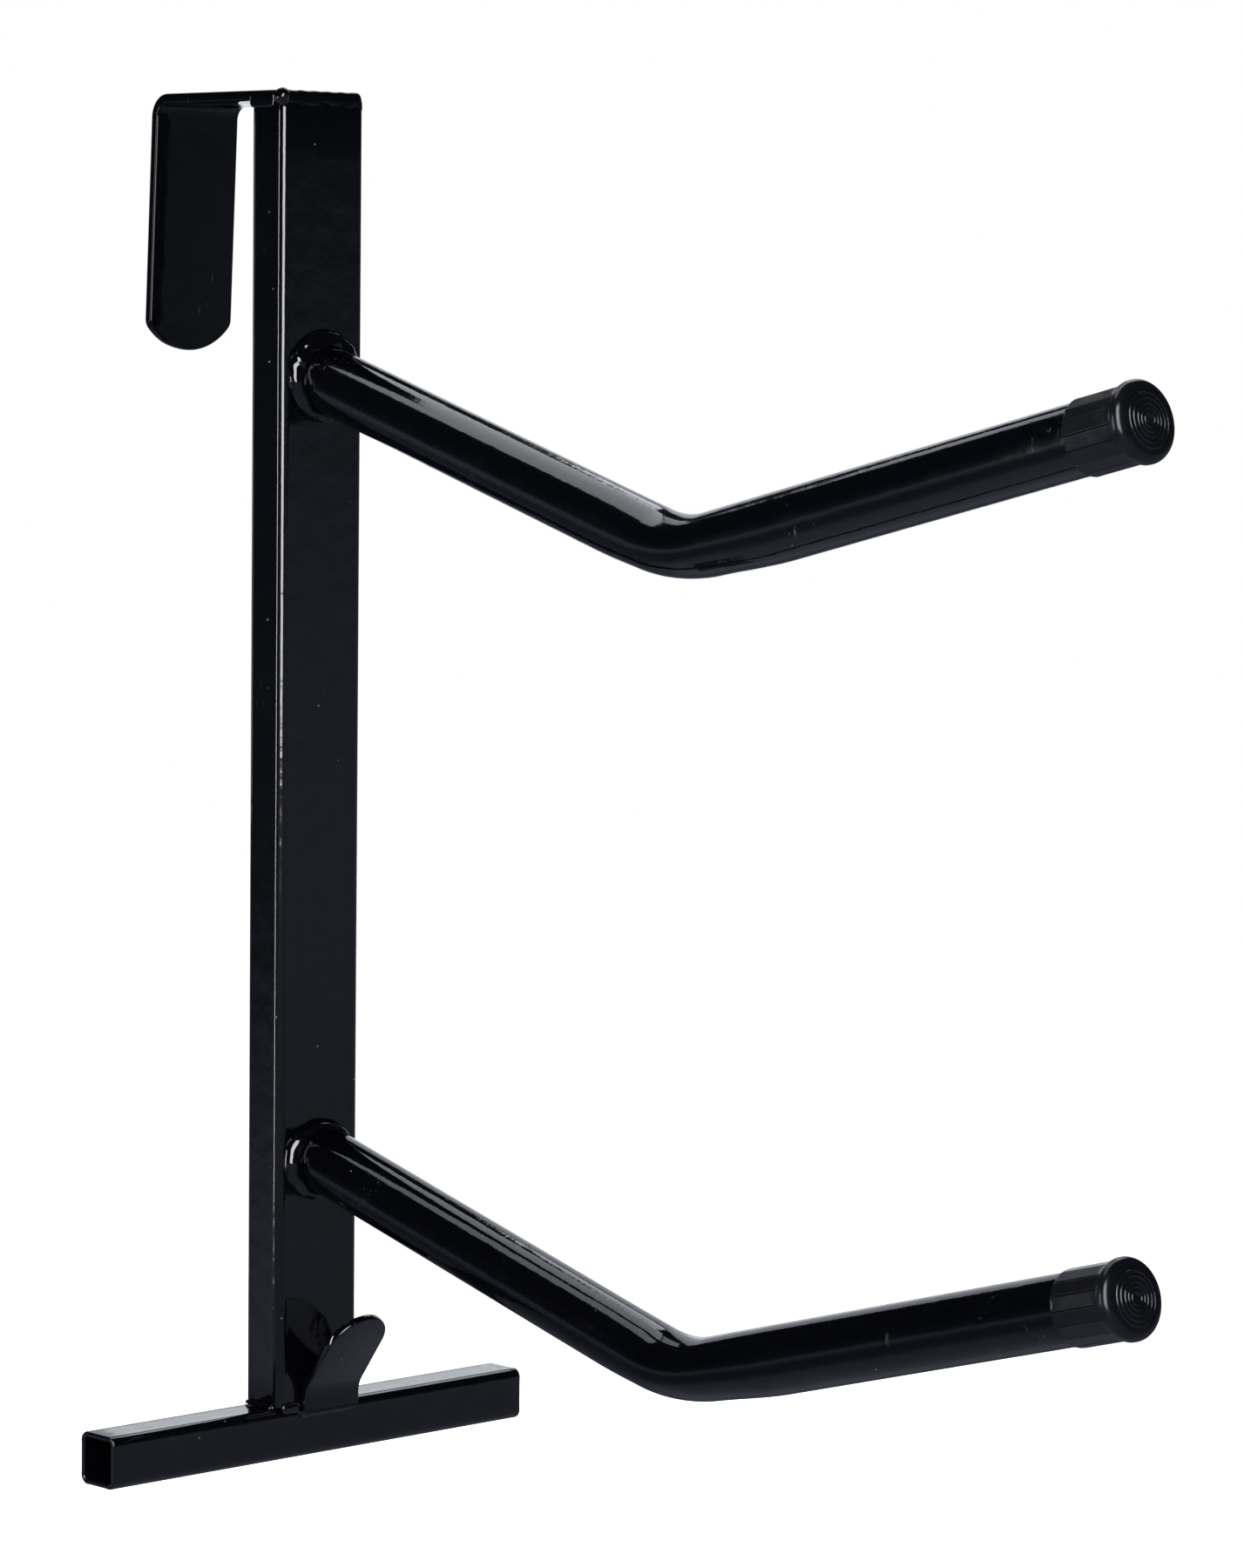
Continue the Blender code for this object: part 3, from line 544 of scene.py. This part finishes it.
def make_arm(name, arm, material):
    """Bent tube, closed as a ring: along the outside to the free end and back up the bore."""
    setback = ARM_BEND_RADIUS * math.tan(ARM_BEND / 2)
    half_arc = ARM_BEND_RADIUS * ARM_BEND / 2
    first = -(arm["root_run"] - setback) - half_arc
    last = arm["tip_run"] - setback + half_arc
    fine_from, fine_to = -0.05, 0.06
    along = np.concatenate([np.linspace(first, fine_from, 40)[:-1], np.linspace(fine_from, fine_to, 90),
                            np.linspace(fine_to, last, 36)[1:]])
    outer = arm_surface(arm, ARM_RADIUS, along)
    inner = arm_surface(arm, ARM_RADIUS - TUBE_WALL, along)
    grid = np.concatenate([outer, inner[::-1]])
    faces = grid_faces(grid.shape[0], grid.shape[1], True, True)
    return make_piece(name + "_tube", grid, faces, material, [name])


# ---- end caps ------------------------------------------------------------------------------------
def cap_profile():
    """Half-section of the cap, (radius, height), from the floor inside the sleeve round to the
    middle of the face.

    The face is a shallow parabola.  Each ring adds a ridge shaped like a bell curve at its own
    radius, and the middle has a small nib in a dimple.
    """
    bore = ARM_RADIUS + GAP
    back = CAP_FACE - CAP_HEAD_THICKNESS
    mouth = back - CAP_SLEEVE_LENGTH
    inside = [(0, GAP), (bore, GAP), (bore, mouth + 0.0003), (bore + 0.0001, mouth)]
    sleeve = [(CAP_SLEEVE_RADIUS - 0.00015, mouth), (CAP_SLEEVE_RADIUS, mouth + 0.0003)]
    sleeve += [(CAP_SLEEVE_RADIUS, h) for h in np.linspace(mouth + 0.001, back - 0.0006, 12)]
    neck = [(CAP_SLEEVE_RADIUS + 0.0001, back - 0.0002), (CAP_SLEEVE_RADIUS + 0.0003, back)]
    shoulder = [(CAP_HEAD_RADIUS - CAP_SHOULDER + CAP_SHOULDER * math.cos(turn),
                 back + CAP_SHOULDER + CAP_SHOULDER * math.sin(turn))
                for turn in np.linspace(-math.pi / 2, 0, 6)]
    rim = [(CAP_HEAD_RADIUS - CAP_RIM + CAP_RIM * math.cos(turn),
            CAP_FACE - CAP_RIM + CAP_RIM * math.sin(turn))
           for turn in np.linspace(0, math.pi / 2 * 0.97, 16)]
    face_radius = CAP_HEAD_RADIUS - CAP_RIM
    radius = np.linspace(face_radius - 0.0003, 0, 110)
    crown = CAP_FACE + CAP_CROWN * (1 - (radius / face_radius) ** 2)
    ridges = sum(np.exp(-((radius - ring) / CAP_RING_WIDTH) ** 2) for ring in CAP_RINGS)
    rings = CAP_RING_HEIGHT * (ridges - 0.5) * (radius < CAP_RING_LIMIT)
    nib = CAP_NIB * np.exp(-(radius / 0.0006) ** 2)
    dimple = -CAP_NIB * np.exp(-(radius / 0.0013) ** 4)
    height = crown + rings + dimple + nib
    face = list(zip(radius, height))
    return np.array(inside + sleeve + neck + shoulder + rim + face)


def make_cap(name, arm, material):
    """Plastic cap turned about the tube's axis; its sleeve is moulded in narrow flats.

    On the sleeve each radius shrinks as a flat lies inside its circle, by one minus the cosine
    of half a flat's angle over the cosine of the angle from its middle, and by a bell-shaped
    groove at each seam.
    """
    root_way, tip_way, root = arm_ways(arm)
    end = root + arm["root_run"] * root_way + arm["tip_run"] * tip_way
    lift = np.cross(tip_way, SIDE)
    profile = cap_profile()
    step = np.array([0, 0.018, 0.036, 0.06, 0.1, 0.17, 0.27, 0.38, 0.5])    # close by each seam
    step = np.concatenate([step, 1 - step[-2:0:-1]])
    swing = ((np.arange(CAP_FACETS)[:, None] + step) * 2 * math.pi / CAP_FACETS).ravel()
    radius = np.repeat(profile[:, :1], len(swing), axis=1)
    height = np.repeat(profile[:, 1:], len(swing), axis=1)
    within = swing * CAP_FACETS / (2 * math.pi) % 1 - 0.5
    half_step = math.pi / CAP_FACETS
    flat = math.cos(half_step) / np.cos(within * 2 * half_step)
    groove = CAP_GROOVE * np.exp(-((np.abs(within) - 0.5) / 0.030) ** 2)
    shrink = CAP_SLEEVE_RADIUS * (1 - flat) + groove
    back = CAP_FACE - CAP_HEAD_THICKNESS
    first_outside = 5           # the profile's points before this one lie inside the sleeve
    outside = np.arange(len(profile))[:, None] >= first_outside
    on_sleeve = smooth_step((back - 0.0003 - height) / 0.0006) * outside
    radius = radius - on_sleeve * shrink[None]
    points = (end + (radius * np.cos(swing))[..., None] * SIDE
              + (radius * np.sin(swing))[..., None] * lift + height[..., None] * tip_way)
    faces = grid_faces(*radius.shape, False, True)
    return make_piece(name + "_end_cap", points, faces, material, [name + "_cap"], 50)


# ---- weld beads ----------------------------------------------------------------------------------
def make_arm_bead(name, arm, material):
    """Lumpy bead round an arm's root.

    Around the tube, each cross-section is a bulged quarter between the post's face and the
    tube.  Its reach on the post follows the arm's own list of angles and reaches; its reach on
    the tube wanders, and a ripple of about one wave per drop of metal crosses both.
    """
    seed = arm["bead_seed"]
    root_way, _, root = arm_ways(arm)
    lift = np.cross(root_way, SIDE)
    swing = np.linspace(0, 2 * math.pi, 384, endpoint=False)
    ray = np.cos(swing)[:, None] * SIDE + np.sin(swing)[:, None] * lift
    foot = root + (ARM_RADIUS + GAP) * ray
    foot = foot + ((POST_FRONT - GAP - foot[:, 1]) / root_way[1])[:, None] * root_way
    flat = ray * np.array([1, 0, 1])
    flat = flat / np.linalg.norm(flat, axis=1)[:, None]
    angles, reaches = np.array(arm["bead_reach"]).T
    along_post = np.interp(np.degrees(swing), angles, reaches, period=360)
    blur = 12
    kernel = np.exp(-(np.arange(-blur, blur + 1) / 6.0) ** 2)
    wrapped = np.concatenate([along_post[-blur:], along_post, along_post[:blur]])
    along_post = np.convolve(wrapped, kernel / kernel.sum(), mode="valid")
    along_post = along_post + wander(swing, (7, 11), seed, 0.0003)
    along_tube = BEAD_CLIMB + wander(swing, (2, 4, 7, 11), seed + 1, 0.0009)
    drops = np.sin(DROPS * swing + 1.6 * np.sin(3 * swing + seed) + 0.9 * np.sin(5 * swing))
    ripple = arm["bead_ripple"] * (drops + wander(swing, (19, 27), seed + 3, 0.5))
    grid = [foot]
    for swell in np.linspace(0, math.pi / 2, 18):
        body = math.sin(2 * swell)
        reach = (along_post * math.cos(swell) * (1 + 0.05 * body))[:, None] * flat
        climb = (along_tube * math.sin(swell) * (1 + 0.05 * body))[:, None] * root_way
        lump = (ripple * body)[:, None] * (flat + root_way) / math.sqrt(2)
        grid.append(foot + reach + climb + lump)
    grid = np.stack(grid)
    faces = grid_faces(grid.shape[0], grid.shape[1], True, True)
    return make_piece(name + "_bead", grid, faces, material, [name + "_weld"], 60)


def make_bead(node, start, end, out_a, out_b, reach_a, reach_b, span, seed, material):
    """A bead along a straight line, tapered at both ends.

    Its section is an arc of an ellipse from out_a towards out_b: a quarter closed through the
    corner it fills, or a half that lies on one face.  The reaches ripple along the line.
    """
    along = np.linspace(0, 1, 72)
    start, end, out_a, out_b = (np.array(value, float) for value in (start, end, out_a, out_b))
    centre = start + along[:, None] * (end - start)
    taper = np.sqrt(np.clip(1 - np.abs(2 * along - 1) ** 8, 0, 1))
    count = max(2, round(np.linalg.norm(end - start) / DROP_LENGTH))
    drops = np.cos(2 * math.pi * count * along + 0.8 * np.sin(2 * math.pi * along * 2 + seed))
    swell = taper * (0.97 + 0.03 * drops)
    swing = np.linspace(0, span, 14)
    across = np.cos(swing)[:, None] * reach_a * swell
    deep = np.sin(swing)[:, None] * reach_b * swell
    if span < math.pi:
        across = np.concatenate([np.zeros((1, len(along))), across])
        deep = np.concatenate([np.zeros((1, len(along))), deep])
    grid = centre + across[..., None] * out_a + deep[..., None] * out_b
    faces = grid_faces(grid.shape[0], grid.shape[1], True, False)
    return make_piece(node.replace("_weld", "_bead"), grid, faces, material, [node], 60)


def make_front_bead(material):
    """Bead that buries the strap's front end: a quarter of an ellipse carried along X.

    It falls from the strap's top edge to the post's face.  Its foot wanders along the bead and
    drops at the right end, where its top rounds off and its depth runs out.
    """
    x = np.linspace(-0.0186, 0.0194, 150)
    part = (x - x[0]) / (x[-1] - x[0])
    right = smooth_step((x - 0.0135) / 0.0055)
    wave = 0.0004 * np.sin(13 * part + 1) + 0.0003 * np.sin(29 * part) + 0.0002 * np.sin(51 * part + 2)
    foot = -0.0014 - 0.0016 * right + wave
    end_round = np.sqrt(np.clip(1 - np.clip((x - 0.0166) / 0.0030, 0, 1) ** 2, 0, 1))
    top = 0.0012 + 0.0028 * end_round + 0.00008 * np.sin(37 * part)
    turned = np.clip(np.abs(x) - POST_SIDE + POST_CORNER, 0, POST_CORNER)
    round_back = POST_CORNER - np.sqrt(POST_CORNER ** 2 - turned ** 2)
    sliver = 0.0001             # what the bead keeps clear of the strap
    back = STRAP_FRONT - sliver + round_back * 0.8
    near_post = POST_FRONT - GAP + round_back
    swell = 0.00012 * (1 + 0.6 * np.sin(23 * part + 1)) * end_round
    columns = [(back, sliver + 0 * x), (back, top - 3 * sliver), (back - sliver, top - sliver)]
    for turn in np.linspace(0.08, math.pi / 2, 24):
        lean = math.sin(turn) ** 0.85
        y = back + (near_post - back) * lean - swell * math.sin(2 * turn)
        columns.append((y, foot + (top - foot) * math.cos(turn) ** 0.9))
    columns.append((near_post, sliver + 0 * x))
    return make_carried_bead("strap_front", x, columns, material)


def make_carried_bead(name, x, columns, material):
    """A bead whose (y, z) section is carried along X and closed at both ends."""
    grid = np.stack([np.column_stack([x, y, z]) for y, z in columns])
    faces = grid_faces(grid.shape[0], grid.shape[1], True, False)
    faces = np.concatenate([faces, end_faces(*grid.shape[:2])])
    return make_piece(name + "_bead", grid, faces, material, [name + "_weld"], 50)


def make_corner_lump(material):
    """Ball of weld metal on the corner: a sphere whose radius ripples over both of its angles."""
    polar = np.linspace(0, math.pi, 40)[:, None]
    swing = np.linspace(0, 2 * math.pi, 64, endpoint=False)[None]
    lobes = 0.07 * np.sin(3 * swing + 0.6) * np.sin(polar) ** 2
    lobes = lobes + 0.06 * np.sin(4 * polar + 2 * swing) * np.sin(polar)
    radius = 0.0030 * (1 + lobes)
    points = np.stack([radius * np.sin(polar) * np.cos(swing), radius * np.sin(polar) * np.sin(swing),
                       radius * np.cos(polar) + 0 * swing], axis=-1)
    points = points * np.array([1.0, 0.9, 1.1]) + np.array([-0.0203, POST_FRONT + 0.0003, 0.0014])
    faces = grid_faces(*points.shape[:2], False, True)
    return make_piece("strap_corner_bead", points, faces, material,
                      ["strap_corner_weld"], 60)


def make_tongue_bead(material):
    """Run-out under the tongue: its section sweeps from the tongue's face down to the bar."""
    x = np.linspace(tongue_low[0] - 0.0016, tongue_high[0] + 0.0020, 120)
    inside = smooth_step((x - x[0]) / 0.0030) * smooth_step((x[-1] - x) / 0.0034)
    wave = 1 + 0.05 * np.sin(x * 700 + 1) + 0.02 * np.sin(x * 1600)
    top = tongue_low[2] - 0.0001
    reach = TONGUE_THICKNESS * inside
    depth = (0.0010 + 0.0022 * inside) * wave
    face = POST_FRONT - GAP
    columns = [(face + 0 * x, top + 0 * x)]
    for down in np.linspace(0, 1, 14):
        hollow = (1 - down) ** 1.7
        columns.append((face - (reach + 0.00002) * hollow, top - depth * down))
    return make_carried_bead("tongue", x, columns, material)


def make_small_beads(material):
    """Seams beside the strap, the bead behind it and those round the post's foot."""
    half_turn, quarter = math.pi, math.pi / 2
    front, back, height = POST_FRONT + 0.0054, POST_BACK - 0.0002, 0.0004
    for name, side in (("left", -1), ("right", 1)):
        x = side * (POST_SIDE + GAP)
        make_bead(f"strap_{name}_weld", (x, front, height), (x, back, height), UP, side * SIDE,
                  0.0030, 0.0003, half_turn, 4, material)
    half, y = 0.0169, POST_BACK + GAP
    make_bead("strap_rear_weld", (-half, y, 0), (half, y, 0), BACK, -UP,
              0.0020, 0.0020, quarter, 5, material)
    front, back, foot = POST_FRONT + 0.0015, POST_BACK - 0.0015, post_low[2]
    for name, side in (("left", -1), ("right", 1)):
        x = side * (POST_SIDE + GAP)
        make_bead(f"post_{name}_weld", (x, front, foot), (x, back, foot), side * SIDE, UP,
                  0.0014, 0.0017, quarter, 6, material)
    left, right, y = -0.0180, -0.0092, POST_FRONT - GAP
    make_bead("post_front_weld", (left, y, CROSSBAR_TOP), (right, y, CROSSBAR_TOP), UP, -BACK,
              0.0021, 0.0011, half_turn, 7, material)


# ---- the stage: floor, lights and camera ---------------------------------------------------------
COOL = (0.90, 0.94, 1.0)
FLOOR_DROP = 0.35               # from the crossbar's underside
FLOOR_HALF = 4.0

# What reflections find beyond the lights, towards -Y and towards +Y: (degrees above the horizon,
# brightness).  The first two stops are the ends of a ramp, and the others lie between them.
FRONT_ROOM = [(-90, 0.28), (80, 0.02), (-20, 0.27), (-10, 0.24), (-5.7, 0.29), (-2.6, 0.24), (0, 0.15),
              (1.4, 0.10), (4, 0.05), (12, 0.03)]
BACK_ROOM = [(-90, 0.30), (80, 0.02), (-48, 0.30), (-36, 0.11), (-22, 0.10), (-15, 0.30), (-11, 0.33),
             (-6, 0.06), (0, 0.035), (8, 0.012)]

CAMERA_PLACE = (-1.312408, -1.590043, -0.080466)
CAMERA_AZIMUTH = math.radians(43.615)
CAMERA_ELEVATION = math.radians(-4.943)
CAMERA_ROLL = math.radians(0.6097)
CAMERA_LENS = 123.018           # millimetres, on a sensor 36 mm high


def softbox(name, centre, target, width, height, radiance, colour=(1, 1, 1)):
    """A rectangular light that faces a target; its power follows from its radiance and area."""
    lamp = bpy.data.lights.new(name, "AREA")
    lamp.shape = "RECTANGLE"
    lamp.size = width
    lamp.size_y = height
    lamp.energy = radiance * math.pi * width * height
    lamp.color = colour
    body = bpy.data.objects.new(name, lamp)
    aim = Vector(target) - Vector(centre)
    body.rotation_euler = aim.to_track_quat("-Z", "Y").to_euler()
    body.location = centre
    body.visible_camera = False
    bpy.context.scene.collection.objects.link(body)
    return body


def bearing(azimuth, distance, height):
    """A place at a compass direction from the rack; 0 is straight behind it, 90 to its right."""
    turn = math.radians(azimuth)
    return (distance * math.sin(turn), distance * math.cos(turn), height)


def light_studio():
    """Boxes overhead, far behind, left of the camera, slim and far to the left, and high on the
    right; two wide sweeps behind the rack, and a faint glow for the crossbar's top."""
    softbox("overhead_box", (0.15, 0.66, 1.4), (0.15, 0.66, 0), 1.6, 0.95, 2.6, COOL)
    softbox("camera_box", bearing(-128, 1.9, 0.53), (0, 0, -0.1), 1.0, 2.0, 14.0)
    softbox("slim_box", bearing(-61, 4.2, -0.15), (0, 0, -0.2), 0.34, 2.0, 20.0)
    softbox("far_box", (0.50, 1.62, 1.38), (0.50, 1.62, 0), 0.7, 0.9, 1.5, COOL)
    softbox("sweep_right", bearing(48, 1.9, 0.0), (0, 0, -0.25), 1.9, 1.7, 1.0, COOL)
    softbox("sweep_left", bearing(-18, 1.9, -0.1), (0, 0, -0.2), 0.65, 0.7, 1.2, COOL)
    softbox("edge_box", bearing(66, 1.9, 1.75), (0, 0, 0), 1.1, 1.1, 3.2, COOL)
    softbox("bar_glow", (0.655, 0.725, -0.285), (0.05, 0, -0.45), 0.46, 0.18, 0.4, COOL)


def make_world():
    """White where the camera looks past the rack; in reflections a dim room with a paler floor."""
    world = bpy.data.worlds.new("studio")
    bpy.context.scene.world = world
    world.use_nodes = True
    nodes = world.node_tree.nodes
    link = world.node_tree.links.new
    nodes.clear()
    path = nodes.new("ShaderNodeLightPath")
    direction = nodes.new("ShaderNodeTexCoord")
    split = nodes.new("ShaderNodeSeparateXYZ")
    link(direction.outputs["Generated"], split.inputs[0])
    height = nodes.new("ShaderNodeMapRange")
    height.inputs["From Min"].default_value = -1.0
    link(split.outputs["Z"], height.inputs["Value"])
    ramps = []
    for stops in (FRONT_ROOM, BACK_ROOM):
        ramp = nodes.new("ShaderNodeValToRGB")
        link(height.outputs["Result"], ramp.inputs["Fac"])
        elements = ramp.color_ramp.elements
        for number, (elevation, level) in enumerate(stops):
            place = (math.sin(math.radians(elevation)) + 1) / 2
            element = elements[number] if number < 2 else elements.new(place)
            element.position = place
            element.color = (level * 0.84, level * 0.91, level * 1.12, 1)
        ramps.append(ramp)
    behind = nodes.new("ShaderNodeMapRange")
    behind.inputs["From Min"].default_value = -0.25
    behind.inputs["From Max"].default_value = 0.25
    link(split.outputs["Y"], behind.inputs["Value"])
    room_mix = nodes.new("ShaderNodeMix")
    room_mix.data_type = "RGBA"
    link(behind.outputs["Result"], room_mix.inputs["Factor"])
    link(ramps[0].outputs["Color"], room_mix.inputs["A"])
    link(ramps[1].outputs["Color"], room_mix.inputs["B"])
    room = nodes.new("ShaderNodeBackground")
    link(room_mix.outputs["Result"], room.inputs["Color"])
    white = nodes.new("ShaderNodeBackground")
    white.inputs["Color"].default_value = (1, 1, 1, 1)
    mix = nodes.new("ShaderNodeMixShader")
    output = nodes.new("ShaderNodeOutputWorld")
    link(path.outputs["Is Camera Ray"], mix.inputs[0])
    link(room.outputs[0], mix.inputs[1])
    link(white.outputs[0], mix.inputs[2])
    link(mix.outputs[0], output.inputs[0])


def make_floor():
    """Plain pale floor below the rack."""
    mesh = bpy.data.meshes.new("floor")
    height = bar_low[2] - FLOOR_DROP
    corners = [(x * FLOOR_HALF, y * FLOOR_HALF, height) for x, y in ((-1, -1), (1, -1), (1, 1), (-1, 1))]
    mesh.from_pydata(corners, [], [(0, 1, 2, 3)])
    material, add = new_material("floor_paper")
    shader = add("ShaderNodeBsdfPrincipled", {"Base Color": (0.85, 0.85, 0.85, 1), "Roughness": 0.9,
                                              "Emission Color": (1, 1, 1, 1), "Emission Strength": 1.0})
    add("ShaderNodeOutputMaterial", {"Surface": shader.outputs["BSDF"]})
    mesh.materials.append(material)
    plane = bpy.data.objects.new("floor", mesh)
    bpy.context.scene.collection.objects.link(plane)
    plane.visible_glossy = False


def make_camera():
    """Long lens from the front left, a little below the strap."""
    level = math.cos(CAMERA_ELEVATION)
    ahead = Vector((math.sin(CAMERA_AZIMUTH) * level, math.cos(CAMERA_AZIMUTH) * level,
                    math.sin(CAMERA_ELEVATION)))
    right = Vector((math.cos(CAMERA_AZIMUTH), -math.sin(CAMERA_AZIMUTH), 0))
    up = right.cross(ahead)
    rolled_right = math.cos(CAMERA_ROLL) * right + math.sin(CAMERA_ROLL) * up
    rolled_up = -math.sin(CAMERA_ROLL) * right + math.cos(CAMERA_ROLL) * up
    data = bpy.data.cameras.new("camera")
    data.sensor_fit = "VERTICAL"
    data.sensor_height = 36.0
    data.lens = CAMERA_LENS
    data.clip_start = 0.05
    camera = bpy.data.objects.new("camera", data)
    axes = Matrix((rolled_right, rolled_up, -ahead)).transposed().to_4x4()
    camera.matrix_world = Matrix.Translation(CAMERA_PLACE) @ axes
    bpy.context.scene.collection.objects.link(camera)
    bpy.context.scene.camera = camera


# ---- make everything -----------------------------------------------------------------------------
tube_coat = powder_coat("tube_coat", wave=0.00017)
# lower_arm_coat and leg_coat are the same powder coat with weaker reflections than the rest: painted shade
arm_coats = {"upper_arm": powder_coat("arm_coat", roughness=0.07),
             "lower_arm": powder_coat("lower_arm_coat", roughness=0.05, shine=0.32)}
leg_coat = powder_coat("leg_coat", shine=0.22)
bead_coat = powder_coat("bead_coat", peel=0.00005)
plastic = cap_plastic("cap_plastic")

make_post(tube_coat)
make_crossbar(tube_coat)
make_strap(leg_coat)
make_tongue(tube_coat)
for name, arm in ARMS.items():
    make_arm(name, arm, arm_coats[name])
    make_cap(name, arm, plastic)
    make_arm_bead(name, arm, bead_coat)
make_front_bead(bead_coat)
make_corner_lump(bead_coat)
make_tongue_bead(bead_coat)
make_small_beads(bead_coat)

light_studio()
make_world()
make_floor()
make_camera()
view = bpy.context.scene.view_settings
view.view_transform = "Standard"
view.look = "None"
